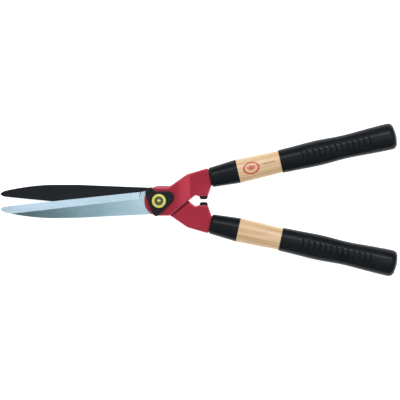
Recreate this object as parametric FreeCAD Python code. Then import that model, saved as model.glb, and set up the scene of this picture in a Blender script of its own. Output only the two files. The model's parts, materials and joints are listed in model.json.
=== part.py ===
import FreeCAD, Part
import math
import os

from FreeCAD import Matrix, Vector

# Hedge shears lying flat. Two like halves cross at a pivot. Each half is a blade riveted to a forged steel
# arm, and a wooden handle with a plastic ferrule and a rubber grip. The back half is the front half turned
# over about X. Everything is drawn about the pivot with the blades' sliding plane at z = 0, and then lifted
# so that the pivot bolt and the two grip ends stand on z = 0. Blades point to -X, handles to +X, in mm.

# Handles: oval, wider across the shears than they are deep.
HANDLE_ANGLE = 12.6            # from the shears' middle line, degrees
HANDLE_START = (74.0, 33.4)    # middle of the ferrule's front face
DEPTH_RATIO = 0.88             # depth of every handle section over its width
FERRULE_END = 41.6             # distances along the handle, from the ferrule's front face
WOOD_SHOWN_TO = 104.3
GRIP_END = 276.0
FERRULE_FRONT_R = 14.5
FERRULE_BACK_R = 17.45
FERRULE_WALL = 2.2
FERRULE_NOSE = 3.0
FERRULE_ROUND = 3.5
WOOD_FRONT_R = 17.5
WOOD_BACK_R = 16.1
WOOD_IN_GRIP_R = 14.4
WOOD_IN_GRIP_TO = 268.0
# Half widths of the grip along the handle: start, palm swell, waist, flared end.
GRIP_CURVE = [(WOOD_SHOWN_TO, 17.0), (128.0, 17.6), (160.0, 18.45),
              (199.0, 17.1), (238.0, 18.5), (262.0, 19.2)]
GRIP_CORNER_R = 8.0
GRIP_DOME = 1.6

# Height of the blades' sliding plane: the flared grip ends stand on z = 0.
PLANE_Z = GRIP_CURVE[-1][1] * DEPTH_RATIO

# Blades: flat on the sliding side, with a wide bevel along the cutting edge on the other.
SLIDE_GAP = 0.15               # from the sliding plane to each blade
BLADE_THICK = 3.2
EDGE_START = (-26.8, 13.0)     # cutting edge at the plunge line, and near the tip
EDGE_END = (-217.0, -6.2)
EDGE_START_THICK = 0.85
EDGE_END_THICK = 0.4
RIDGE_AT = (-120.0, -7.1)      # a point on the ridge between bevel and blade body
PLUNGE_LINE = ((-23.8, 28.0), (-37.6, -30.0))   # two points on it, past either side of the blade
BEVEL_REACH = -260.0           # past the tip
BEVEL_CUT_HEIGHT = 20.0
PLUNGE_LEAN = 0.6              # how far the plunge wall leans towards the hub for each mm of height
TIP_CURVE = [EDGE_END, (-223.6, -7.0), (-229.3, -8.8), (-231.3, -11.2), (-229.2, -13.6), (-221.5, -16.5)]
SPINE_CURVE = [(-221.5, -16.5), (-207.0, -19.3), (-190.0, -21.8), (-172.0, -23.6), (-150.0, -24.3)]
SPINE_BEND = (-118.0, -24.1)
SPINE_HEEL = (-14.0, -19.4)
EDGE_HEEL = (-19.0, 14.4)
BLADE_TANG_R = 19.4            # the blade's rounded end, under the arm's hub
TANG_LOW = (-1.0, -19.4)
TANG_HIGH = (0.0, 17.4)

# Forged steel arm: a flat hub, a shallow set-down, then a deeper part that runs on as a tang in the handle.
HUB_THICK = 3.2
HUB_UNDER = SLIDE_GAP + BLADE_THICK
HUB_TOP = HUB_UNDER + HUB_THICK
ARM_HALF = 3.75                # half the arm's full depth, which is even about z = 0
SET_DOWN = (31.0, 44.6)        # where the outer face starts and ends its set-down
SET_DOWN_R = (100.0, 14.0)     # of the long bend from the hub, and the short one into the deeper part
SWEEP_FROM = -60.0             # side views are drawn here and swept across the arm
SWEEP_LENGTH = 160.0
SIDE_VIEW_X = (-60.0, 200.0)   # how far side views run, well past the arm
SIDE_VIEW_TOP = 60.0
ARM_GAP = 3.1                  # from the step down to full depth to the other arm's diagonal edge
STEP_REACH = 100.0             # well past the arm's outline
ARM_EDGE_R = 2.6
STEP_EDGE_R = 0.4
TANG_LENGTH = 62.0
TANG_ROOT_HALF = 8.5
TANG_END_HALF = 6.5
TANG_ROOT_R = 0.2
TANG_END_R = 3.0
TANG_MOUTH_SLACK = 0.45        # on each side of the tang, where its room starts
TANG_ROOM_FROM = -5.0          # ahead of the ferrule's front face
TANG_ROOM_R = 0.5
# Corners of the hub and arm, each with its radius, up to the shoulder that meets the ferrule.
DIAGONAL_EDGE = [(15.4, -21.6, 3.0), (53.0, 8.6, 5.0)]
ARM_FRONT_CORNERS = [(13.3, 19.7, 6.0), (-21.5, 19.7, 17.0), (-21.5, -21.6, 20.5), *DIAGONAL_EDGE,
                     (57.2, 6.3, 2.0), (70.6, 6.3, 1.6), (76.3, 23.0, 1.2)]
ARM_BACK_CORNERS = [(70.8, 47.6, 2.5), (40.5, 38.7, 18.0)]

# Rubber bumpers between the arms.
BUMPER_AT = 64.5
BUMPER_SEAT_Y = 6.8            # let a little into the arm's rounded edge
BUMPER_FACE_Y = 2.05
BUMPER_SHOULDER_Y = 4.1
BUMPER_SEAT_HALF = 5.75
BUMPER_FACE_HALF = 3.9
BUMPER_DEPTH_HALF = 2.4
BUMPER_STEM_R = 1.8
BUMPER_STEM = 5.0

# Pivot: an M8 bolt with its head under the cover, and a washer, disc spring and locking nut at the back.
BOLT_R = 4.0
BOLT_HEAD_AF = 13.0
BOLT_HEAD_THICK = 4.0
BOLT_HOLE_R = 4.2
BOLT_CHAMFER = 0.8
BUSH_OUTER_R = 5.5
BUSH_CLEARANCE = 0.05
SHIM_R = 11.0
SHIM_SLACK = 0.05
WASHER_R = 10.0
WASHER_THICK = 1.2
SPRING_R = 8.0
SPRING_THICK = 0.6
SPRING_RISE = 0.5
NUT_THICK = 6.7
NUT_METAL = 4.9
NUT_CHAMFER_R = 6.1
NUT_INSERT_R = 5.3
NUT_LIP = 0.5                  # the collar's rim that holds the insert in

# Rivets that hold each blade to its arm, under the lobes of the cover.
RIVET_SPOTS = [(-11.6, 11.2), (14.2, 5.2), (-4.4, -14.8)]
RIVET_R = 2.5
RIVET_HEAD_R = 4.0
RIVET_HEAD_THICK = 1.7
RIVET_SINK_R = 3.6
RIVET_SINK_DEPTH = 1.1

# Three-lobed plastic cover and its round badge.
COVER_CORNERS = [(-19.9, 13.0, 2.0), (-11.4, 21.1, 2.4), (-5.6, 14.2, 7.0), (34.6, 13.9, 9.0),
                 (-6.1, -26.8, 5.85), (-17.3, 4.0, 30.0)]
COVER_TOP = HUB_TOP + 6.4
COVER_EDGE_R = 1.8
COVER_SKIN = 1.2
HEAD_POCKET_R = 8.0
RIVET_POCKET_R = 4.5
RIVET_POCKET_CLEAR = 0.6       # above the rivets' heads
BADGE_CLEAR = 0.15             # round the badge
BADGE_R = 10.0
BADGE_SEAT_DEPTH = 1.0
BADGE_RISE = 0.3

# Cross pin through the tang, hidden under the ferrule.
PIN_AT = 24.0
PIN_R = 2.0
PIN_HALF = 13.4


def rounded_outline(corners):
    """A closed face of straight sides, with each corner (x, y, radius) rounded."""
    points = [Vector(x, y, 0) for x, y, _ in corners]
    arcs = []
    for i, (_, _, radius) in enumerate(corners):
        to_last = (points[i - 1] - points[i]).normalize()
        to_next = (points[(i + 1) % len(points)] - points[i]).normalize()
        half = to_last.getAngle(to_next) / 2
        inward = (to_last + to_next).normalize()
        start = points[i] + to_last * (radius / math.tan(half))
        end = points[i] + to_next * (radius / math.tan(half))
        middle = points[i] + inward * (radius / math.sin(half) - radius)
        arcs.append((start, middle, end))
    edges = []
    for i, (start, middle, end) in enumerate(arcs):
        edges.append(Part.Arc(start, middle, end).toShape())
        edges.append(Part.LineSegment(end, arcs[(i + 1) % len(arcs)][0]).toShape())
    return Part.Face(Part.Wire(edges))


def prism(face, low, high):
    """The face drawn at z = 0, as a solid between two heights."""
    return face.translated(Vector(0, 0, low)).extrude(Vector(0, 0, high - low))


def cylinder(radius, low, high, x=0.0, y=0.0):
    return Part.makeCylinder(radius, high - low, Vector(x, y, low))


def polygon(points):
    return Part.Face(Part.makePolygon([Vector(*p) for p in points + points[:1]]))


def spline(points):
    curve = Part.BSplineCurve()
    curve.interpolate([Vector(x, y, 0) for x, y in points])
    return curve.toShape()


def line(start, end):
    return Part.LineSegment(Vector(*start, 0), Vector(*end, 0)).toShape()


def along_handle(distance, across=0.0):
    """The (x, y) of a place on the handle, measured from the ferrule's front face."""
    turn = math.radians(HANDLE_ANGLE)
    x = HANDLE_START[0] + distance * math.cos(turn) - across * math.sin(turn)
    y = HANDLE_START[1] + distance * math.sin(turn) + across * math.cos(turn)
    return x, y


def on_handle(shape):
    """A shape drawn along X from the ferrule's front face, set in its place on the handle."""
    placed = shape.copy()
    placed.rotate(Vector(0, 0, 0), Vector(0, 0, 1), HANDLE_ANGLE)
    placed.translate(Vector(*HANDLE_START, 0))
    return placed


def turned(edges):
    """An oval solid, from a half outline drawn in (distance, radius) that starts and ends on the axis."""
    solid = Part.Face(Part.Wire(edges)).revolve(Vector(0, 0, 0), Vector(1, 0, 0), 360)
    squeeze = Matrix()
    squeeze.scale(1, 1, DEPTH_RATIO)
    return on_handle(solid.transformGeometry(squeeze))


def half_outline(points):
    """Straight edges through the points, closed along the axis."""
    closed = points + points[:1]
    return [line(a, b) for a, b in zip(closed, closed[1:])]


def hexagon(across_flats, low, high):
    corner = across_flats / math.sqrt(3)
    turns = [math.radians(60 * i) for i in range(6)]
    return prism(polygon([(corner * math.cos(t), corner * math.sin(t), 0) for t in turns]), low, high)


def tang_corners():
    """The tang's corners past the shoulder of the arm."""
    return [(*along_handle(0, -TANG_ROOT_HALF), TANG_ROOT_R),
            (*along_handle(TANG_LENGTH, -TANG_END_HALF), TANG_END_R),
            (*along_handle(TANG_LENGTH, TANG_END_HALF), TANG_END_R),
            (*along_handle(0, TANG_ROOT_HALF), TANG_ROOT_R)]


def bend(corner, ends, radius):
    """The points of an arc that rounds a corner of the side view, between the ends of its two straights."""
    to_ends = [(Vector(x, SWEEP_FROM, z) - corner).normalize() for x, z in ends]
    half_turn = (math.pi - to_ends[0].getAngle(to_ends[1])) / 2
    reach = radius * math.tan(half_turn)
    inward = (to_ends[0] + to_ends[1]).normalize()
    middle = corner + inward * (radius / math.cos(half_turn) - radius)
    return corner + to_ends[0] * reach, middle, corner + to_ends[1] * reach


def over_face(offset):
    """Everything above the arm's outer face, or above a face like it at an offset."""
    hub_z = HUB_TOP + offset
    arm_z = ARM_HALF + offset
    hub_end, arm_end = (SIDE_VIEW_X[0], hub_z), (SIDE_VIEW_X[1], arm_z)
    start, end = (SET_DOWN[0], hub_z), (SET_DOWN[1], arm_z)
    first = bend(Vector(start[0], SWEEP_FROM, hub_z), (hub_end, end), SET_DOWN_R[0])
    second = bend(Vector(end[0], SWEEP_FROM, arm_z), (start, arm_end), SET_DOWN_R[1])
    roof = [arm_end, (SIDE_VIEW_X[1], SIDE_VIEW_TOP), (SIDE_VIEW_X[0], SIDE_VIEW_TOP), hub_end]
    corners = [Vector(x, SWEEP_FROM, z) for x, z in roof]
    edges = [Part.LineSegment(corners[3], first[0]).toShape(), Part.Arc(*first).toShape(),
             Part.LineSegment(first[2], second[0]).toShape(), Part.Arc(*second).toShape(),
             Part.LineSegment(second[2], corners[0]).toShape()]
    edges += [Part.LineSegment(a, b).toShape() for a, b in zip(corners, corners[1:])]
    return Part.Face(Part.Wire(edges)).extrude(Vector(0, SWEEP_LENGTH, 0))


def rim(solid, facing):
    """The edges between the walls and the faces that look up (facing 1) or down (facing -1)."""
    found = []
    for edge in solid.Edges:
        middle = edge.valueAt((edge.FirstParameter + edge.LastParameter) / 2)
        slopes = [face.normalAt(*face.Surface.parameter(middle)).z * facing
                  for face in solid.ancestorsOfType(edge, Part.Face)]
        if len(slopes) == 2 and max(slopes) > 0.9 and abs(min(slopes, key=abs)) < 0.3:
            found.append(edge)
    return found


def step_line():
    """The step's line: a point on it, and the directions along it and away from the hub."""
    start, end = [Vector(x, -y, 0) for x, y, _ in DIAGONAL_EDGE]
    along = (end - start).normalize()
    away = Vector(-along.y, along.x, 0)
    return start + away * ARM_GAP, along, away


def ahead_of_step():
    """The hub's side of the step, which runs beside the other arm's diagonal edge, from full depth up."""
    near, along, away = step_line()
    corners = [near - along * STEP_REACH, near + along * STEP_REACH,
               near + along * STEP_REACH - away * STEP_REACH, near - along * STEP_REACH - away * STEP_REACH]
    return prism(polygon([tuple(corner) for corner in corners]), -ARM_HALF, HUB_UNDER)


def on_step(edge):
    near, _, away = step_line()
    return all(abs((corner.Point - near).dot(away)) < 0.01 for corner in edge.Vertexes)


def foot_rim(solid):
    """The rim of the face at the arm's full depth."""
    return [edge for edge in rim(solid, -1) if edge.BoundBox.ZMax < -ARM_HALF + 0.1]


def arm():
    """The forged arm, before its holes."""
    outline = rounded_outline(ARM_FRONT_CORNERS + tang_corners() + ARM_BACK_CORNERS)
    blank = prism(outline, -ARM_HALF, HUB_TOP + 1.0).cut(over_face(0.0))
    blank = blank.makeFillet(ARM_EDGE_R, rim(blank, 1))
    blank = blank.cut(ahead_of_step().cut(over_face(-HUB_THICK)))
    blank = blank.makeFillet(ARM_EDGE_R, [edge for edge in foot_rim(blank) if not on_step(edge)])
    return blank.makeFillet(STEP_EDGE_R, [edge for edge in foot_rim(blank) if on_step(edge)])


def blade():
    """One blade, drawn for the front half, before its holes."""
    round_end = Part.Arc(Vector(*TANG_LOW, 0), Vector(BLADE_TANG_R, 0, 0), Vector(*TANG_HIGH, 0)).toShape()
    corners = [SPINE_CURVE[-1], SPINE_BEND, SPINE_HEEL, TANG_LOW]
    edges = [line(TANG_HIGH, EDGE_HEEL), line(EDGE_HEEL, EDGE_START), line(EDGE_START, EDGE_END),
             spline(TIP_CURVE), spline(SPINE_CURVE)]
    edges += [line(a, b) for a, b in zip(corners, corners[1:])]
    edges.append(round_end)
    body = prism(Part.Face(Part.Wire(edges)), SLIDE_GAP, SLIDE_GAP + BLADE_THICK)
    return body.cut(bevel_cutter())


def bevel_cutter():
    """Everything above the bevel plane, ahead of the plunge line."""
    start = Vector(*EDGE_START, SLIDE_GAP + EDGE_START_THICK)
    end = Vector(*EDGE_END, SLIDE_GAP + EDGE_END_THICK)
    ridge = Vector(*RIDGE_AT, SLIDE_GAP + BLADE_THICK)
    along = (end - start).normalize()
    normal = along.cross(ridge - start).normalize()
    if normal.z < 0:
        normal = normal * -1.0
    high, low = PLUNGE_LINE
    over = [high, (BEVEL_REACH, high[1]), (BEVEL_REACH, low[1]), low]
    foot = [Vector(x, y, start.z - (normal.x * (x - start.x) + normal.y * (y - start.y)) / normal.z)
            for x, y in over]
    base = Part.Face(Part.makePolygon(foot + foot[:1]))
    return base.extrude(Vector(PLUNGE_LEAN, 0, 1) * BEVEL_CUT_HEIGHT)


def rivets():
    """Three rivets: flush in the blade's sliding face, domed on the arm's outer face."""
    solids = []
    for x, y in RIVET_SPOTS:
        place = Vector(x, y, SLIDE_GAP)
        sink = Part.makeCone(RIVET_SINK_R, RIVET_R, RIVET_SINK_DEPTH, place)
        shank = cylinder(RIVET_R, SLIDE_GAP, HUB_TOP, x, y)
        dome_r = (RIVET_HEAD_R ** 2 + RIVET_HEAD_THICK ** 2) / (2 * RIVET_HEAD_THICK)
        dome = Part.makeSphere(dome_r, Vector(x, y, HUB_TOP + RIVET_HEAD_THICK - dome_r))
        head = cylinder(RIVET_HEAD_R, HUB_TOP, HUB_TOP + RIVET_HEAD_THICK, x, y).common(dome)
        solids.append(sink.fuse(shank).fuse(head).removeSplitter())
    return Part.makeCompound(solids)


def bumper():
    """A rubber block on the arm's inner edge, with a stem that holds it in a blind hole."""
    half = [(-BUMPER_SEAT_HALF, BUMPER_SEAT_Y, 0.3), (-BUMPER_SEAT_HALF, BUMPER_SHOULDER_Y, 0.8),
            (-BUMPER_FACE_HALF, BUMPER_FACE_Y, 1.4)]
    mirrored = [(-x, y, r) for x, y, r in reversed(half)]
    block = prism(rounded_outline([(x + BUMPER_AT, y, r) for x, y, r in half + mirrored]),
                  -BUMPER_DEPTH_HALF, BUMPER_DEPTH_HALF)
    stem = Part.makeCylinder(BUMPER_STEM_R, BUMPER_STEM, Vector(BUMPER_AT, BUMPER_SEAT_Y, 0), Vector(0, 1, 0))
    return block.fuse(stem).removeSplitter()


def tang_room():
    """The space that the tang takes in the ferrule's nose and the wood."""
    mouth_half = TANG_ROOT_HALF + TANG_MOUTH_SLACK
    corners = [(*along_handle(TANG_ROOM_FROM, -mouth_half), TANG_ROOM_R),
               (*along_handle(TANG_LENGTH, -TANG_END_HALF), TANG_END_R),
               (*along_handle(TANG_LENGTH, TANG_END_HALF), TANG_END_R),
               (*along_handle(TANG_ROOM_FROM, mouth_half), TANG_ROOM_R)]
    return prism(rounded_outline(corners), -ARM_HALF, ARM_HALF)


def ferrule_wood_r(distance):
    """Half width of the wood inside the ferrule."""
    share = distance / FERRULE_END
    return FERRULE_FRONT_R + (FERRULE_BACK_R - FERRULE_FRONT_R) * share - FERRULE_WALL


def ferrule():
    """Tapered plastic sleeve with a rounded nose."""
    nose_r = FERRULE_FRONT_R - FERRULE_ROUND
    nose_mid = FERRULE_ROUND * (1 - math.sqrt(0.5))
    curve = Part.Arc(Vector(0, nose_r, 0), Vector(nose_mid, FERRULE_FRONT_R - nose_mid, 0),
                     Vector(FERRULE_ROUND, FERRULE_FRONT_R, 0)).toShape()
    corners = [(FERRULE_ROUND, FERRULE_FRONT_R), (FERRULE_END, FERRULE_BACK_R),
               (FERRULE_END, ferrule_wood_r(FERRULE_END)), (FERRULE_NOSE, ferrule_wood_r(FERRULE_NOSE)),
               (FERRULE_NOSE, 0), (0, 0), (0, nose_r)]
    edges = [curve] + [line(a, b) for a, b in zip(corners, corners[1:])]
    return turned(edges).cut(tang_room())


def wood():
    """The wooden handle, stepped down inside the ferrule and the grip."""
    points = [(FERRULE_NOSE, 0), (FERRULE_NOSE, ferrule_wood_r(FERRULE_NOSE)),
              (FERRULE_END, ferrule_wood_r(FERRULE_END)), (FERRULE_END, WOOD_FRONT_R),
              (WOOD_SHOWN_TO, WOOD_BACK_R), (WOOD_SHOWN_TO, WOOD_IN_GRIP_R),
              (WOOD_IN_GRIP_TO, WOOD_IN_GRIP_R), (WOOD_IN_GRIP_TO, 0)]
    return turned(half_outline(points)).cut(tang_room())


def grip():
    """Rubber grip: palm swell, waist, flared end with a rounded rim and a slight dome."""
    rim_r = GRIP_CURVE[-1][1]
    rim_start = GRIP_END - GRIP_DOME - GRIP_CORNER_R
    mid = GRIP_CORNER_R * math.sqrt(0.5)
    corner = Part.Arc(Vector(rim_start, rim_r, 0), Vector(rim_start + mid, rim_r - GRIP_CORNER_R + mid, 0),
                      Vector(rim_start + GRIP_CORNER_R, rim_r - GRIP_CORNER_R, 0)).toShape()
    edge_r = rim_r - GRIP_CORNER_R
    dome_mid = Vector(GRIP_END - GRIP_DOME * 0.25, edge_r / 2, 0)
    dome = Part.Arc(Vector(GRIP_END - GRIP_DOME, edge_r, 0), dome_mid, Vector(GRIP_END, 0, 0)).toShape()
    bore = [(GRIP_END, 0), (WOOD_IN_GRIP_TO, 0), (WOOD_IN_GRIP_TO, WOOD_IN_GRIP_R),
            (WOOD_SHOWN_TO, WOOD_IN_GRIP_R), GRIP_CURVE[0]]
    edges = [spline(GRIP_CURVE), line(GRIP_CURVE[-1], (rim_start, rim_r)), corner, dome]
    edges += [line(a, b) for a, b in zip(bore, bore[1:])]
    return turned(edges)


def tang_pin():
    pin = Part.makeCylinder(PIN_R, 2 * PIN_HALF, Vector(PIN_AT, -PIN_HALF, 0), Vector(0, 1, 0))
    return on_handle(pin)


def bolt():
    """Hexagon bolt, head on the front arm, end flat on the resting plane."""
    head = hexagon(BOLT_HEAD_AF, HUB_TOP, HUB_TOP + BOLT_HEAD_THICK)
    shank = cylinder(BOLT_R, -PLANE_Z + BOLT_CHAMFER, HUB_TOP)
    end = Part.makeCone(BOLT_R - BOLT_CHAMFER, BOLT_R, BOLT_CHAMFER, Vector(0, 0, -PLANE_Z))
    return head.fuse(shank).fuse(end).removeSplitter()


def ring(outer, inner, low, high):
    return cylinder(outer, low, high).cut(cylinder(inner, low, high))


def disc_spring(top):
    """A coned spring washer, its wide rim towards the washer."""
    foot = top - SPRING_THICK - SPRING_RISE
    profile = polygon([(BOLT_HOLE_R, 0, foot), (SPRING_R, 0, foot + SPRING_RISE),
                       (SPRING_R, 0, top), (BOLT_HOLE_R, 0, foot + SPRING_THICK)])
    return profile.revolve(Vector(0, 0, 0), Vector(0, 0, 1), 360)


def nut(top):
    """Hexagon locking nut with a round collar for its plastic insert."""
    metal = hexagon(BOLT_HEAD_AF, top - NUT_METAL, top)
    collar = cylinder(NUT_CHAMFER_R, top - NUT_THICK, top - NUT_METAL)
    bored = metal.fuse(collar).cut(cylinder(BOLT_R, top - NUT_THICK, top))
    return bored.cut(cylinder(NUT_INSERT_R, top - NUT_THICK + NUT_LIP, top - NUT_METAL))


def cover():
    """Three-lobed cover, hollow over the bolt head and rivets, with a round seat for the badge."""
    shell = prism(rounded_outline(COVER_CORNERS), HUB_TOP, COVER_TOP)
    shell = shell.makeFillet(COVER_EDGE_R, rim(shell, 1))
    shell = shell.cut(cylinder(BADGE_R + BADGE_CLEAR, COVER_TOP - BADGE_SEAT_DEPTH, COVER_TOP))
    shell = shell.cut(cylinder(HEAD_POCKET_R, HUB_TOP, COVER_TOP - BADGE_SEAT_DEPTH - COVER_SKIN))
    pocket_top = HUB_TOP + RIVET_HEAD_THICK + RIVET_POCKET_CLEAR
    for x, y in RIVET_SPOTS:
        shell = shell.cut(cylinder(RIVET_POCKET_R, HUB_TOP, pocket_top, x, y))
    return shell


def badge():
    """A slightly domed disc in the cover's seat."""
    low = COVER_TOP - BADGE_SEAT_DEPTH
    high = COVER_TOP + BADGE_RISE
    dome_r = (BADGE_R ** 2 + (2 * BADGE_RISE) ** 2) / (4 * BADGE_RISE)
    dome = Part.makeSphere(dome_r, Vector(0, 0, high - dome_r))
    return cylinder(BADGE_R, low, high).common(dome)


def turned_over(shape):
    """The same piece on the back half."""
    flipped = shape.copy()
    flipped.rotate(Vector(0, 0, 0), Vector(1, 0, 0), 180)
    return flipped


def half(side, hole_r):
    """The pieces that both halves have, as named shapes drawn for the front half."""
    blade_rivets = rivets()
    rubber = bumper()
    pin = tang_pin()
    pivot_hole = cylinder(hole_r, 0, HUB_TOP)
    return {
        side + "_arm": arm().cut(blade_rivets).cut(pivot_hole).cut(rubber).cut(pin),
        side + "_blade": blade().cut(blade_rivets).cut(pivot_hole),
        side + "_blade_rivets": blade_rivets,
        side + "_bumper": rubber,
        side + "_ferrule": ferrule(),
        side + "_handle_wood": wood().cut(pin),
        side + "_handle_pin": pin,
        side + "_grip": grip(),
    }


def pivot():
    """The pivot's own pieces."""
    bush_bore = BOLT_R + BUSH_CLEARANCE
    washer_top = -HUB_TOP
    spring_top = washer_top - WASHER_THICK
    nut_top = spring_top - SPRING_THICK - SPRING_RISE
    insert_low = nut_top - NUT_THICK + NUT_LIP
    return {
        "pivot_bolt": bolt(),
        "pivot_bush": ring(BUSH_OUTER_R, bush_bore, -HUB_TOP, -SLIDE_GAP),
        "blade_shim": ring(SHIM_R, BOLT_HOLE_R, -SLIDE_GAP, SLIDE_GAP - SHIM_SLACK),
        "pivot_washer": ring(WASHER_R, BOLT_HOLE_R, washer_top - WASHER_THICK, washer_top),
        "disc_spring": disc_spring(spring_top),
        "pivot_nut": nut(nut_top),
        "nut_insert": ring(NUT_INSERT_R, BOLT_R, insert_low, nut_top - NUT_METAL),
        "pivot_cover": cover(),
        "cover_badge": badge(),
    }


def export(name, shape):
    placed = shape.translated(Vector(0, 0, PLANE_Z))
    placed.exportStep("parts/" + name + ".step")
    print(name, placed.isValid(), len(placed.Solids), round(placed.Volume))


os.makedirs("parts", exist_ok=True)
for node, shape in half("front", BOLT_HOLE_R).items():
    export(node, shape)
for node, shape in half("back", BUSH_OUTER_R).items():
    export(node, turned_over(shape))
for node, shape in pivot().items():
    export(node, shape)
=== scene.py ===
import json
import math

import bpy
import numpy as np
from mathutils import Matrix, Vector


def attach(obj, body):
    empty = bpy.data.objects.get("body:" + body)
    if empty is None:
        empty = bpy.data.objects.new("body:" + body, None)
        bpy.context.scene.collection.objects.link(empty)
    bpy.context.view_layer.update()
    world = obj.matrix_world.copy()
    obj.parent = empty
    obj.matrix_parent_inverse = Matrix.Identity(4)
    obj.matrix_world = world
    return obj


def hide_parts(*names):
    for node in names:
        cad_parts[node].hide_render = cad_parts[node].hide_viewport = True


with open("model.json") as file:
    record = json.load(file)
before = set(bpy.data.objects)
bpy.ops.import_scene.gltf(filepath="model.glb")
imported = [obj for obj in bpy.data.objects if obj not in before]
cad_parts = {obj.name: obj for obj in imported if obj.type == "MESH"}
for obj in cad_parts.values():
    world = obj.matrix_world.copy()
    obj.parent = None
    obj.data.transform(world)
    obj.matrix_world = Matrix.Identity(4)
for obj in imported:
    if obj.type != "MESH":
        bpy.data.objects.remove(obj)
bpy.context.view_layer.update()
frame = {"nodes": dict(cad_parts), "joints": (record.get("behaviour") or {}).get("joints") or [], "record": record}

# Looks for the hedge shears: oval handles, grips and ferrules are lofted here, and all other parts keep the
# frame's shapes. Lengths are in millimetres, and MM turns them into metres.

MM = 0.001
PIVOT_Z = frame["joints"][0]["pos_m"][2]
SIDES = ("front", "back")

# Handles: distances are along their own axis from the ferrule's front face, and radii are half the width.
HANDLE_ANGLE = math.radians(12.6)
HANDLE_START = Vector((74.0, 33.4, 0.0)) * MM
DEPTH_RATIO = 0.88
FERRULE_END = 41.6
WOOD_SHOWN_TO = 104.3
GRIP_END = 276.0
WOOD_FROM = 3.0                # inside the ferrule
WOOD_NOSE_R = 12.2
WOOD_SOCKET_R = 15.2
WOOD_CURVE = [(FERRULE_END, 17.5), (72.0, 17.0), (WOOD_SHOWN_TO, 16.1)]
FERRULE_FRONT_R = 14.5
FERRULE_BACK_R = 17.45
FERRULE_NOSE_CORNER_R = 3.5
FERRULE_BACK_CORNER_R = 0.4
FERRULE_BORE_NOSE_R = 12.4
FERRULE_BORE_BACK_R = 15.25
FERRULE_FACE_RINGS = (8.0, 4.0)
GRIP_CURVE = [(WOOD_SHOWN_TO, 17.0), (128.0, 17.6), (160.0, 18.45),
              (199.0, 17.1), (238.0, 18.5), (262.0, 19.2)]
GRIP_BORE_R = 14.4
GRIP_BORE_TO = 268.0
GRIP_CORNER_R = 8.0
GRIP_DOME = 1.6
GRIP_LIP = 0.7
RIB_FIRST = 137.5              # middle of the first groove
RIB_PITCH = 8.3
RIB_COUNT = 13
RIB_WIDTH = 2.6
RIB_DEPTH = 0.95
RIB_HALF_ANGLE = math.radians(30.0)
RIB_BOW = 2.2
RIB_FADE = 4.0                 # how sharply a groove ends at its sides
AROUND = 144                   # points round a handle piece


# ---------------------------------------------------------------- mesh building

def add_mesh(name, points, faces, place=Matrix.Identity(4), sharp=30.0):
    """A smooth-shaded object from points and faces, with edges over the sharp angle left crisp."""
    mesh = bpy.data.meshes.new(name)
    mesh.from_pydata([tuple(p) for p in points], [], faces)
    mesh.validate()
    mesh.shade_smooth()
    mesh.set_sharp_from_angle(angle=math.radians(sharp))
    piece = bpy.data.objects.new(name, mesh)
    bpy.context.scene.collection.objects.link(piece)
    piece.matrix_world = place
    return piece


def monotone(points, where):
    """Values of a smooth curve through (x, y) points that never overshoots them."""
    x = np.array([p[0] for p in points])
    y = np.array([p[1] for p in points])
    step = np.diff(x)
    slope = np.diff(y) / step
    tangent = np.zeros(len(x))
    tangent[0], tangent[-1] = slope[0], 0.0
    for i in range(1, len(x) - 1):
        if slope[i - 1] * slope[i] > 0:
            tangent[i] = 2 * slope[i - 1] * slope[i] / (slope[i - 1] + slope[i])
    i = np.clip(np.searchsorted(x, where) - 1, 0, len(step) - 1)
    t = (where - x[i]) / step[i]
    rise = tangent[i] * step[i] * (t ** 3 - 2 * t ** 2 + t)
    rise = rise + tangent[i + 1] * step[i] * (t ** 3 - t ** 2)
    return y[i] * (2 * t ** 3 - 3 * t ** 2 + 1) + y[i + 1] * (3 * t ** 2 - 2 * t ** 3) + rise


def oval_loft(name, profile, place, carve=None):
    """An oval solid about X from (distance, radius) stations in mm that start and end on the axis.
    carve(distance, radius, angle) says how much to take off the radius."""
    angles = np.arange(AROUND) * 2 * math.pi / AROUND
    inner = profile[1:-1]
    points = [(profile[0][0] * MM, 0, 0)]
    for distance, radius in inner:
        cut = carve(distance, radius, angles) if carve else 0.0
        r = (radius - cut) * MM
        along = np.full(AROUND, distance * MM)
        ring = np.stack([along, r * np.cos(angles), DEPTH_RATIO * r * np.sin(angles)], 1)
        points.extend(ring)
    points.append((profile[-1][0] * MM, 0, 0))
    faces = [(0, 1 + (j + 1) % AROUND, 1 + j) for j in range(AROUND)]
    for i in range(len(inner) - 1):
        low = 1 + i * AROUND
        high = low + AROUND
        for j in range(AROUND):
            k = (j + 1) % AROUND
            faces.append((low + j, low + k, high + k, high + j))
    low = 1 + (len(inner) - 1) * AROUND
    last = len(points) - 1
    faces += [(low + j, low + (j + 1) % AROUND, last) for j in range(AROUND)]
    return add_mesh(name, points, faces, place)


def handle_place(side):
    """Where a handle's own axes lie: the back handle is the front one turned over about X."""
    over = Matrix.Rotation(math.pi, 4, "X") if side == "back" else Matrix.Identity(4)
    lift = Matrix.Translation((0, 0, PIVOT_Z))
    return lift @ over @ Matrix.Translation(HANDLE_START) @ Matrix.Rotation(HANDLE_ANGLE, 4, "Z")


def arc(centre, radius, start, end, steps):
    """Points (distance, radius) of an arc, angles in degrees from the handle's axis."""
    turns = np.radians(np.linspace(start, end, steps + 1))
    return [(centre[0] + radius * math.cos(t), centre[1] + radius * math.sin(t)) for t in turns]


# ---------------------------------------------------------------- handle pieces

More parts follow.
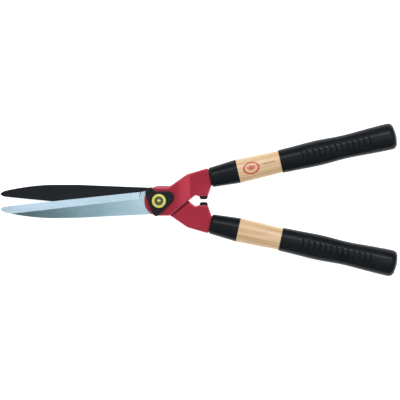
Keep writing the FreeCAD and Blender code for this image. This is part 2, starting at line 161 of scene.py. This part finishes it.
def grip_ribs(distance, radius, angles):
    """Shallow bowed grooves across the top and bottom of the grip."""
    if radius < GRIP_BORE_R + 1.0:
        return np.zeros(AROUND)
    off_top = np.abs(np.abs(angles - math.pi) - math.pi / 2)
    share = np.clip(off_top / RIB_HALF_ANGLE, 0, 1)
    window = np.clip((1 - share) * RIB_FADE, 0, 1)
    window = window * window * (3 - 2 * window)
    along = distance + RIB_BOW * share ** 2 - RIB_FIRST
    number = np.clip(np.round(along / RIB_PITCH), 0, RIB_COUNT - 1)
    away = np.abs(along - number * RIB_PITCH) / (RIB_WIDTH / 2)
    groove = np.where(away < 1, (1 + np.cos(np.pi * np.clip(away, 0, 1))) / 2, 0)
    return RIB_DEPTH * groove * window


def grip(side):
    rim_r = GRIP_CURVE[-1][1]
    edge_r = rim_r - GRIP_CORNER_R
    rim_start = GRIP_END - GRIP_DOME - GRIP_CORNER_R
    lip_at = WOOD_SHOWN_TO + GRIP_LIP
    body = np.linspace(lip_at, GRIP_CURVE[-1][0], 330)
    profile = [(GRIP_BORE_TO, 0), (GRIP_BORE_TO, GRIP_BORE_R), (WOOD_SHOWN_TO, GRIP_BORE_R)]
    profile += arc((lip_at, GRIP_CURVE[0][1] - GRIP_LIP), GRIP_LIP, 180, 95, 5)
    profile += list(zip(body, monotone(GRIP_CURVE, body)))
    profile += arc((rim_start, edge_r), GRIP_CORNER_R, 90, 0, 12)
    for share in np.linspace(0.92, 0.08, 12):
        profile.append((GRIP_END - GRIP_DOME * share ** 2, edge_r * share))
    profile.append((GRIP_END, 0))
    piece = oval_loft(side + "_grip_rubber", profile, handle_place(side), grip_ribs)
    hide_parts(side + "_grip")
    return piece


def wood(side):
    shown = np.linspace(FERRULE_END, WOOD_SHOWN_TO, 40)
    profile = [(WOOD_FROM, 0), (WOOD_FROM, WOOD_NOSE_R), (FERRULE_END, WOOD_SOCKET_R)]
    profile += list(zip(shown, monotone(WOOD_CURVE, shown)))
    profile += [(WOOD_SHOWN_TO, GRIP_BORE_R), (GRIP_BORE_TO, GRIP_BORE_R), (GRIP_BORE_TO, 0)]
    piece = oval_loft(side + "_handle_ash", profile, handle_place(side))
    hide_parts(side + "_handle_wood")
    return piece


def ferrule(side):
    nose = FERRULE_NOSE_CORNER_R
    lip = FERRULE_BACK_CORNER_R
    widening = FERRULE_BACK_R - FERRULE_FRONT_R
    profile = [(WOOD_FROM, 0), (WOOD_FROM, FERRULE_BORE_NOSE_R), (FERRULE_END, FERRULE_BORE_BACK_R),
               (FERRULE_END, FERRULE_BACK_R - lip)]
    profile += arc((FERRULE_END - lip, FERRULE_BACK_R - lip), lip, 0, 90, 4)
    for distance in np.linspace(FERRULE_END - 1.0, nose + 0.5, 30):
        profile.append((distance, FERRULE_FRONT_R + widening * (distance - nose) / (FERRULE_END - nose)))
    profile += arc((nose, FERRULE_FRONT_R - nose), nose, 88, 180, 12)
    profile += [(0.0, radius) for radius in FERRULE_FACE_RINGS]
    profile.append((0.0, 0))
    profile.reverse()
    piece = oval_loft(side + "_ferrule_shell", profile, handle_place(side))
    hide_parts(side + "_ferrule")
    return piece


# ---------------------------------------------------------------- sizes of the prints

MARK_AT = 61.3                 # along the handle
MARK_R = 8.9
MARK_LINE = 2.1
MARK_SQUASH = 0.72             # the mark is an oval, longer along the handle
STROKES_FROM = 79.6            # along the handle
STROKES_LONG = 17.8
STROKES_ASIDE = 2.0
STROKE_PITCH = 2.6
STROKE_LONG = 1.6
STROKE_HALF = 1.15
PRINT_BLUR = 0.1
BADGE_SPOT_R = 6.6
BADGE_LEAVES_R = 5.2


# ---------------------------------------------------------------- shader building

def srgb(red, green, blue):
    """A display colour, 0 to 255, as the linear colour that shaders take."""
    def linear(value):
        value = value / 255
        return value / 12.92 if value <= 0.04045 else ((value + 0.055) / 1.055) ** 2.4
    return (linear(red), linear(green), linear(blue), 1.0)


class Finish:
    """One procedural material: a Principled shader and short calls that add nodes to it."""

    def __init__(self, name):
        self.material = bpy.data.materials.new(name)
        self.material.use_nodes = True
        self.tree = self.material.node_tree
        self.tree.nodes.clear()
        self.shader = self.add("BsdfPrincipled")
        output = self.add("OutputMaterial")
        self.tree.links.new(self.shader.outputs["BSDF"], output.inputs["Surface"])
        self.place = self.add("TexCoord")

    def add(self, kind, inputs=None, **settings):
        node = self.tree.nodes.new("ShaderNode" + kind)
        for key, value in settings.items():
            setattr(node, key, value)
        for key, value in (inputs or {}).items():
            self.feed(node.inputs[key], value)
        return node

    def feed(self, socket, value):
        if isinstance(value, bpy.types.NodeSocket):
            self.tree.links.new(value, socket)
        else:
            socket.default_value = value

    def set(self, **values):
        """Shader sockets by name, with _ for each space."""
        for key, value in values.items():
            self.feed(self.shader.inputs[key.replace("_", " ")], value)

    def spot(self, scale=(1, 1, 1), shift=(0, 0, 0), turn=0.0):
        """Object coordinates, shifted, turned about Z and scaled."""
        moved = self.add("Mapping", {"Vector": self.place.outputs["Object"], "Location": shift})
        turned = self.add("Mapping", {"Vector": moved.outputs[0], "Rotation": (0, 0, turn)})
        return self.add("Mapping", {"Vector": turned.outputs[0], "Scale": scale}).outputs[0]

    def noise(self, where, scale=1.0, detail=3.0, rough=0.5):
        inputs = {"Vector": where, "Scale": scale, "Detail": detail, "Roughness": rough}
        return self.add("TexNoise", inputs).outputs["Fac"]

    def range(self, value, low, high, to_low=0.0, to_high=1.0):
        inputs = {"Value": value, "From Min": low, "From Max": high, "To Min": to_low, "To Max": to_high}
        return self.add("MapRange", inputs).outputs[0]

    def math(self, operation, first, second=0.0):
        node = self.add("Math", operation=operation)
        self.feed(node.inputs[0], first)
        self.feed(node.inputs[1], second)
        return node.outputs[0]

    def mix(self, share, first, second, blend="MIX"):
        """Two colours mixed. The node's colour sockets are inputs 6 and 7 and output 2."""
        node = self.add("Mix", data_type="RGBA", blend_type=blend)
        self.feed(node.inputs[0], share)
        self.feed(node.inputs[6], first)
        self.feed(node.inputs[7], second)
        return node.outputs[2]

    def ramp(self, value, stops):
        node = self.add("ValToRGB", {"Fac": value})
        elements = node.color_ramp.elements
        while len(elements) < len(stops):
            elements.new(0.5)
        for element, (position, color) in zip(elements, stops):
            element.position = position
            element.color = color
        return node.outputs["Color"]

    def bump(self, height, depth, under=None):
        """A normal from a height of 0 to 1, depth in metres."""
        inputs = {"Height": height, "Distance": depth, "Strength": 1.0}
        if under is not None:
            inputs["Normal"] = under
        return self.add("Bump", inputs).outputs[0]

    def within(self, value, limit):
        """1 below a limit in mm and 0 above it, with a printed edge's blur."""
        return self.range(value, (limit + PRINT_BLUR) * MM, (limit - PRINT_BLUR) * MM)

    def disc(self, where, centre, radius, soft=0.08 * MM):
        """1 inside a circle and 0 outside."""
        away = self.add("VectorMath", {0: where, 1: centre}, operation="DISTANCE").outputs["Value"]
        return self.range(away, radius + soft, radius - soft)

    def flat(self, where):
        """The same place with its height taken away."""
        return self.add("VectorMath", {0: where, 1: (1, 1, 0)}, operation="MULTIPLY").outputs[0]

    def leaf(self, where, long, wide, vein):
        """A pointed leaf along X with a clear vein down its middle."""
        radius = (long ** 2 + wide ** 2) / (4 * wide)
        off = radius - wide / 2
        blade = self.math("MULTIPLY", self.disc(where, (0, off, 0), radius),
                          self.disc(where, (0, -off, 0), radius))
        across = self.add("SeparateXYZ", {0: where}).outputs["Y"]
        clear = self.range(self.math("ABSOLUTE", across), vein * 0.7, vein)
        return self.math("MULTIPLY", blade, clear)

    def leaves(self, where, ring_r):
        """Three leaves that spread from one foot, to go in a ring."""
        mark = 0.0
        for angle in (50.0, 90.0, 130.0):
            turn = math.radians(angle)
            reach = ring_r * (0.36 if angle == 90.0 else 0.32)
            foot = (reach * math.cos(turn), reach * math.sin(turn) - ring_r * 0.22, 0)
            moved = self.add("VectorMath", {0: where, 1: foot}, operation="SUBTRACT").outputs[0]
            turned = self.add("VectorRotate", {"Vector": moved, "Angle": -turn}).outputs[0]
            leaf = self.leaf(turned, ring_r * 0.86, ring_r * 0.42, ring_r * 0.03)
            mark = self.math("MAXIMUM", leaf, mark)
        return mark

    def ring(self, where, ring_r, line):
        return self.math("SUBTRACT", self.disc(where, (0, 0, 0), ring_r),
                         self.disc(where, (0, 0, 0), ring_r - line))


def red_paint():
    """Glossy crimson enamel with a painted highlight on the rounded edges, faint orange peel and scratches."""
    f = Finish("red_enamel")
    broad = f.noise(f.spot(), 28.0, 2.0)
    fine = f.noise(f.spot(), 950.0, 2.0)
    scratches = f.noise(f.spot(scale=(60, 2600, 900), turn=0.6), 1.0, 2.0, 0.7)
    tone = f.ramp(broad, [(0.3, (0.335, 0.0145, 0.0330, 1)), (0.7, (0.395, 0.0200, 0.0430, 1))])
    scuff = f.range(scratches, 0.70, 0.78)
    up = f.math("ABSOLUTE", f.add("SeparateXYZ", {0: f.place.outputs["Normal"]}).outputs["Z"])
    # Painted highlight: rounded edges between flat and upright are coloured lighter, chosen by the normal's
    # height.
    edge_highlight_mask = f.math("MULTIPLY", f.range(up, 0.95, 0.86), f.range(up, 0.25, 0.5))
    edge_highlighted = f.mix(f.math("MULTIPLY", edge_highlight_mask, f.range(fine, 0.3, 0.7, 0.5, 0.8)), tone, (0.74, 0.17, 0.23, 1))
    f.set(Base_Color=f.mix(f.math("MULTIPLY", scuff, 0.25), edge_highlighted, (0.5, 0.09, 0.12, 1)))
    f.set(Roughness=f.range(f.math("ADD", broad, f.math("MULTIPLY", scuff, 0.6)), 0.3, 1.2, 0.27, 0.42))
    f.set(Normal=f.bump(scuff, 0.000006, f.bump(fine, 0.000012)), Metallic=0.35, IOR=1.36)
    return f.material


def black_rubber(name, dark, light, rough, grain, depth):
    """Moulded black rubber or plastic: fine grain, slight colour drift, faint rub marks."""
    f = Finish(name)
    broad = f.noise(f.spot(), 45.0, 3.0)
    fine = f.noise(f.spot(), grain, 2.0, 0.6)
    rubs = f.noise(f.spot(scale=(90, 900, 900)), 1.0, 3.0, 0.6)
    rubbed = f.range(rubs, 0.56, 0.72)
    tone = f.ramp(broad, [(0.3, dark), (0.75, light)])
    f.set(Base_Color=f.mix(f.math("MULTIPLY", rubbed, 0.12), tone, (0.06, 0.065, 0.07, 1)))
    f.set(Roughness=f.range(f.math("ADD", broad, rubbed), 0.3, 1.6, rough - 0.06, rough + 0.12))
    f.set(Normal=f.bump(fine, depth), IOR=1.22)
    return f.material


def ash_wood(name, shift, marked):
    """Pale lacquered ash: growth lines along the handle, fine pores, warm streaks.
    marked adds the red print."""
    f = Finish(name)
    streaks = f.noise(f.spot(scale=(9, 210, 210), shift=shift), 1.0, 4.0, 0.55)
    fibres = f.noise(f.spot(scale=(45, 1700, 1700), shift=shift), 1.0, 3.0, 0.6)
    pores = f.noise(f.spot(scale=(190, 5200, 5200), shift=shift), 1.0, 2.0, 0.5)
    rings_at = f.spot(scale=(0.12, 1, 1), shift=(shift[0], shift[1] + 0.004, shift[2] + 0.034))
    rings = f.add("TexWave", {"Vector": rings_at, "Scale": 78.0, "Distortion": 2.6, "Detail": 3.0,
                              "Detail Scale": 0.6}, wave_type="RINGS", rings_direction="X").outputs["Fac"]
    pale = f.ramp(streaks, [(0.25, srgb(208, 170, 124)), (0.5, srgb(226, 192, 148)),
                            (0.8, srgb(236, 210, 170))])
    ringed = f.mix(f.range(rings, 0.55, 1.0, 0.0, 0.38), pale, srgb(196, 150, 104))
    fibred = f.mix(f.range(fibres, 0.45, 0.8, 0.0, 0.3), ringed, srgb(178, 134, 92))
    tone = f.mix(f.range(pores, 0.66, 0.78, 0.0, 0.45), fibred, srgb(150, 106, 66))
    if marked:
        tone = printed(f, tone)
    f.set(Base_Color=tone)
    f.set(Roughness=f.range(fibres, 0.3, 0.8, 0.34, 0.5))
    f.set(Normal=f.bump(pores, 0.00002, f.bump(fibres, 0.00003)))
    f.shader.inputs["Coat Weight"].default_value = 0.25
    f.shader.inputs["Coat Roughness"].default_value = 0.25
    return f.material


def printed(f, tone):
    """A plain red leaf mark and a row of small brown strokes on the top of the wood."""
    top = f.range(f.add("SeparateXYZ", {0: f.place.outputs["Object"]}).outputs["Z"], 0.003, 0.004)
    squash = f.flat(f.spot(scale=(MARK_SQUASH, 1, 1), shift=(-MARK_AT * MM, 0, 0)))
    mark = f.math("MAXIMUM", f.ring(squash, MARK_R * MM, MARK_LINE * MM), f.leaves(squash, MARK_R * MM))
    where = f.add("SeparateXYZ", {0: f.spot(shift=(-STROKES_FROM * MM, -STROKES_ASIDE * MM, 0))})
    step = f.math("MODULO", where.outputs["X"], STROKE_PITCH * MM)
    aside = f.math("ABSOLUTE", where.outputs["Y"])
    stroke = f.math("MULTIPLY", f.within(step, STROKE_LONG), f.within(aside, STROKE_HALF))
    started = f.range(where.outputs["X"], 0.0, 2 * PRINT_BLUR * MM)
    span = f.math("MULTIPLY", started, f.within(where.outputs["X"], STROKES_LONG))
    worn = f.range(f.noise(f.spot(), 1400.0, 2.0), 0.25, 0.45, 0.55, 0.92)
    red = f.math("MULTIPLY", f.math("MULTIPLY", mark, top), worn)
    brown = f.math("MULTIPLY", f.math("MULTIPLY", f.math("MULTIPLY", stroke, span), top), 0.78)
    return f.mix(brown, f.mix(red, tone, srgb(190, 48, 42)), srgb(122, 74, 62))


def ground_steel():
    """Ground blade steel: bright bevel, painted reflection that darkens the body towards the tip and the bevel a
    little towards the hub, painted shade on the plunge wall, marks across the blade.
    """
    f = Finish("ground_blade_steel")
    along = f.add("SeparateXYZ", {0: f.place.outputs["Object"]}).outputs["X"]
    drift = f.noise(f.spot(scale=(14, 40, 40)), 1.0, 3.0)
    marks = f.noise(f.spot(scale=(2400, 60, 60)), 1.0, 3.0, 0.65)
    # Painted reflection: the body is coloured darker towards the tip and lighter towards the hub.
    place = f.math("ADD", f.range(along, -0.215, -0.02), f.range(drift, 0.3, 0.7, -0.10, 0.10))
    body = f.ramp(place, [(0.0, (0.076, 0.127, 0.132, 1)), (0.35, (0.165, 0.260, 0.295, 1)),
                          (0.7, (0.31, 0.48, 0.545, 1)), (1.0, (0.50, 0.675, 0.75, 1))])
    facing = f.add("SeparateXYZ", {0: f.place.outputs["Normal"]})
    bevel = f.range(facing.outputs["Y"], 0.08, 0.16)
    # Painted reflection: the bevel is coloured a little darker towards the hub.
    bevel_hub_painted_reflection = f.ramp(place, [(0.1, (1, 1, 1, 1)), (0.9, (0.85, 0.87, 0.84, 1))])
    ground = f.ramp(drift, [(0.3, (0.195, 0.255, 0.310, 1)), (0.7, (0.262, 0.340, 0.405, 1))])
    tone = f.mix(bevel, body, f.mix(1.0, ground, bevel_hub_painted_reflection, "MULTIPLY"))
    # Painted shade: the plunge wall facing the tip is coloured near black.
    plunge_painted_shade = f.math("MULTIPLY", f.range(facing.outputs["X"], -0.3, -0.5), f.range(along, -0.06, -0.05))
    tone = f.mix(plunge_painted_shade, tone, (0.03, 0.04, 0.05, 1))
    f.set(Base_Color=f.mix(f.range(marks, 0.45, 0.75, 0.0, 0.16), tone, (0.7, 0.78, 0.82, 1)))
    f.set(Roughness=f.range(marks, 0.3, 0.7, 0.30, 0.42), Metallic=1.0)
    f.set(Normal=f.bump(marks, 0.000004))
    return f.material


def coated_steel():
    """Black low-friction coating on the rear blade."""
    f = Finish("black_blade_coating")
    broad = f.noise(f.spot(scale=(20, 60, 60)), 1.0, 3.0)
    fine = f.noise(f.spot(), 2600.0, 2.0)
    rubs = f.noise(f.spot(scale=(40, 1500, 800), turn=0.1), 1.0, 2.0, 0.7)
    rubbed = f.range(rubs, 0.64, 0.76)
    tone = f.ramp(broad, [(0.3, (0.0062, 0.0080, 0.0110, 1)), (0.7, (0.0100, 0.0122, 0.0165, 1))])
    f.set(Base_Color=f.mix(f.math("MULTIPLY", rubbed, 0.2), tone, (0.07, 0.075, 0.085, 1)))
    f.set(Roughness=f.range(f.math("ADD", broad, rubbed), 0.3, 1.5, 0.42, 0.56))
    f.set(Normal=f.bump(fine, 0.000006), IOR=1.25)
    return f.material


def bright_metal(name, dark, light, rough):
    """Plain or plated metal with a cloudy finish and fine scratches."""
    f = Finish(name)
    cloud = f.noise(f.spot(), 260.0, 3.0)
    lines = f.noise(f.spot(scale=(300, 3000, 900), turn=0.9), 1.0, 2.0, 0.7)
    f.set(Base_Color=f.ramp(cloud, [(0.3, dark), (0.7, light)]), Metallic=1.0)
    f.set(Roughness=f.range(f.math("ADD", cloud, lines), 0.6, 1.4, rough - 0.06, rough + 0.12))
    f.set(Normal=f.bump(lines, 0.000005))
    return f.material


def badge_plastic():
    """Yellow disc with a dark spot printed on it, and three leaves left clear in the spot."""
    f = Finish("yellow_badge")
    drift = f.noise(f.spot(), 320.0, 2.0)
    ground = f.ramp(drift, [(0.3, srgb(208, 208, 92)), (0.7, srgb(222, 222, 112))])
    where = f.flat(f.spot())
    spot = f.disc(where, (0, 0, 0), BADGE_SPOT_R * MM)
    ink = f.math("SUBTRACT", spot, f.leaves(where, BADGE_LEAVES_R * MM))
    f.set(Base_Color=f.mix(f.math("MULTIPLY", ink, 0.93), ground, (0.025, 0.03, 0.012, 1)))
    f.set(Roughness=f.range(drift, 0.3, 0.7, 0.26, 0.36))
    f.set(Normal=f.bump(ink, 0.00003))
    return f.material


# ---------------------------------------------------------------- assembly

def paint(piece, material):
    piece.data.materials.clear()
    piece.data.materials.append(material)


def finishes():
    """Materials by slot; the wood's are made for each handle."""
    dark, light = (0.0050, 0.0066, 0.0088, 1), (0.0078, 0.0102, 0.0132, 1)
    return {
        "red_steel": red_paint(),
        "ground_steel": ground_steel(),
        "coated_steel": coated_steel(),
        "grip_rubber": black_rubber("grip_black_rubber", dark, light, 0.33, 1900.0, 0.000016),
        "ferrule_plastic": black_rubber("ferrule_black_plastic", dark, light, 0.34, 2600.0, 0.000008),
        "cover_plastic": black_rubber("cover_black_plastic", (0.0120, 0.0122, 0.0150, 1),
                                      (0.0160, 0.0165, 0.0200, 1), 0.36, 2600.0, 0.000010),
        "bumper_rubber": black_rubber("bumper_black_rubber", (0.006, 0.006, 0.007, 1),
                                      (0.01, 0.01, 0.011, 1), 0.6, 1500.0, 0.00002),
        "badge_plastic": badge_plastic(),
        "fastener_steel": bright_metal("zinc_plate", (0.5, 0.49, 0.46, 1), (0.66, 0.65, 0.61, 1), 0.34),
        "rivet_steel": bright_metal("rivet_steel", (0.4, 0.4, 0.41, 1), (0.56, 0.56, 0.57, 1), 0.36),
        "spring_steel": bright_metal("spring_steel", (0.2, 0.2, 0.22, 1), (0.3, 0.3, 0.33, 1), 0.34),
        "bush_bronze": bright_metal("sintered_bronze", (0.42, 0.27, 0.12, 1), (0.58, 0.4, 0.2, 1), 0.42),
        "shim_plastic": black_rubber("shim_plastic", (0.55, 0.55, 0.5, 1), (0.65, 0.65, 0.6, 1),
                                     0.45, 2600.0, 0.000006),
        "insert_plastic": black_rubber("nylon_ring", (0.03, 0.09, 0.3, 1), (0.05, 0.14, 0.42, 1),
                                       0.4, 2600.0, 0.000006),
    }


def dress():
    """Every node gets its slot's material, and the handle pieces are built and ride on their halves."""
    made = finishes()
    made["handle_wood"] = ash_wood("ash_inner", (0, 0, 0), False)
    for part in frame["record"]["subparts"]:
        paint(frame["nodes"][part["node"]], made[part["material_slot"]])
    woods = {"front": ash_wood("ash_front", (0.31, 0.07, 0.02), True),
             "back": ash_wood("ash_back", (0.73, 0.012, 0.05), False)}
    for side in SIDES:
        for piece, material in ((grip(side), made["grip_rubber"]), (wood(side), woods[side]),
                                (ferrule(side), made["ferrule_plastic"])):
            paint(piece, material)
            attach(piece, side + "_half")


# ---------------------------------------------------------------- floor, lights and camera

MIDDLE = Vector((0.0591, 0.0010, 0.017))     # where the camera and the lights aim, in metres


def floor():
    """A pale slab that gives off a little light, so that the background comes out white."""
    half, thick = 4.0, 0.02
    corners = ((-half, -half), (half, -half), (half, half), (-half, half))
    points = [(x, y, z) for z in (-thick, 0.0) for x, y in corners]
    faces = [(3, 2, 1, 0), (4, 5, 6, 7), (0, 1, 5, 4), (1, 2, 6, 5), (2, 3, 7, 6), (3, 0, 4, 7)]
    slab = add_mesh("floor", points, faces)
    f = Finish("pale_floor")
    drift = f.noise(f.spot(), 1.5, 2.0)
    f.set(Base_Color=f.ramp(drift, [(0.3, (0.90, 0.90, 0.90, 1)), (0.7, (0.93, 0.93, 0.93, 1))]))
    f.set(Roughness=0.9, Emission_Color=(1.0, 1.0, 1.0, 1.0), Emission_Strength=0.8)
    f.shader.inputs["Specular IOR Level"].default_value = 0.1
    paint(slab, f.material)


def soft_light(name, lean, away, width, depth, power, mirrored=True):
    """An area light aimed at the shears. lean is its tilt from straight up towards +X and +Y, in degrees.
    mirrored says whether it shows in reflections."""
    x, y = math.tan(math.radians(lean[0])), math.tan(math.radians(lean[1]))
    direction = Vector((x, y, 1)).normalized()
    data = bpy.data.lights.new(name, "AREA")
    data.shape = "RECTANGLE"
    data.size, data.size_y = width, depth
    data.energy = power
    light = bpy.data.objects.new(name, data)
    light.visible_glossy = mirrored
    light.location = MIDDLE + direction * away
    light.rotation_euler = direction.to_track_quat("Z", "Y").to_euler()
    bpy.context.scene.collection.objects.link(light)


def studio():
    world = bpy.data.worlds.new("studio")
    world.use_nodes = True
    tree = world.node_tree
    sky = tree.nodes["Background"]
    sky.inputs["Color"].default_value = (0.94, 0.97, 1.0, 1)
    where = tree.nodes.new("ShaderNodeTexCoord")
    height = tree.nodes.new("ShaderNodeSeparateXYZ")
    dome = tree.nodes.new("ShaderNodeMapRange")
    for socket, value in zip(dome.inputs[1:5], (0.0, 1.0, 0.04, 0.73)):
        socket.default_value = value
    tree.links.new(where.outputs["Generated"], height.inputs[0])
    tree.links.new(height.outputs["Z"], dome.inputs["Value"])
    tree.links.new(dome.outputs[0], sky.inputs["Strength"])
    bpy.context.scene.world = world
    soft_light("key", (0, 33), 1.6, 1.3, 0.24, 9.5)
    soft_light("rear", (22, 3), 1.7, 0.3, 0.9, 3.0)
    soft_light("front_grip_end", (8, 33), 1.6, 0.14, 0.20, 0.75)
    soft_light("back_grip_end", (21, 33), 1.6, 0.14, 0.20, 1.5)
    soft_light("right", (62, 0), 2.2, 1.0, 1.0, 2.0)
    for name, lean in (("left", (-58, 0)), ("near", (0, -60))):
        soft_light(name, lean, 2.2, 1.0, 1.0, 1.5, mirrored=False)
    bpy.context.scene.view_settings.view_transform = "Standard"


def camera():
    """Straight above, tilted a little towards the handles, with a long lens."""
    tilt = math.radians(2.0)
    roll = math.radians(0.275)
    away = 3.2
    across = 0.580
    sensor = 36.0
    data = bpy.data.cameras.new("camera")
    data.lens = away / across * sensor
    data.sensor_width = sensor
    data.clip_end = 20.0
    eye = bpy.data.objects.new("camera", data)
    turn = Matrix.Rotation(tilt, 4, "Y") @ Matrix.Rotation(-roll, 4, "Z")
    eye.matrix_world = Matrix.Translation(MIDDLE) @ turn @ Matrix.Translation((0, 0, away))
    bpy.context.scene.collection.objects.link(eye)
    bpy.context.scene.camera = eye


dress()
floor()
studio()
camera()
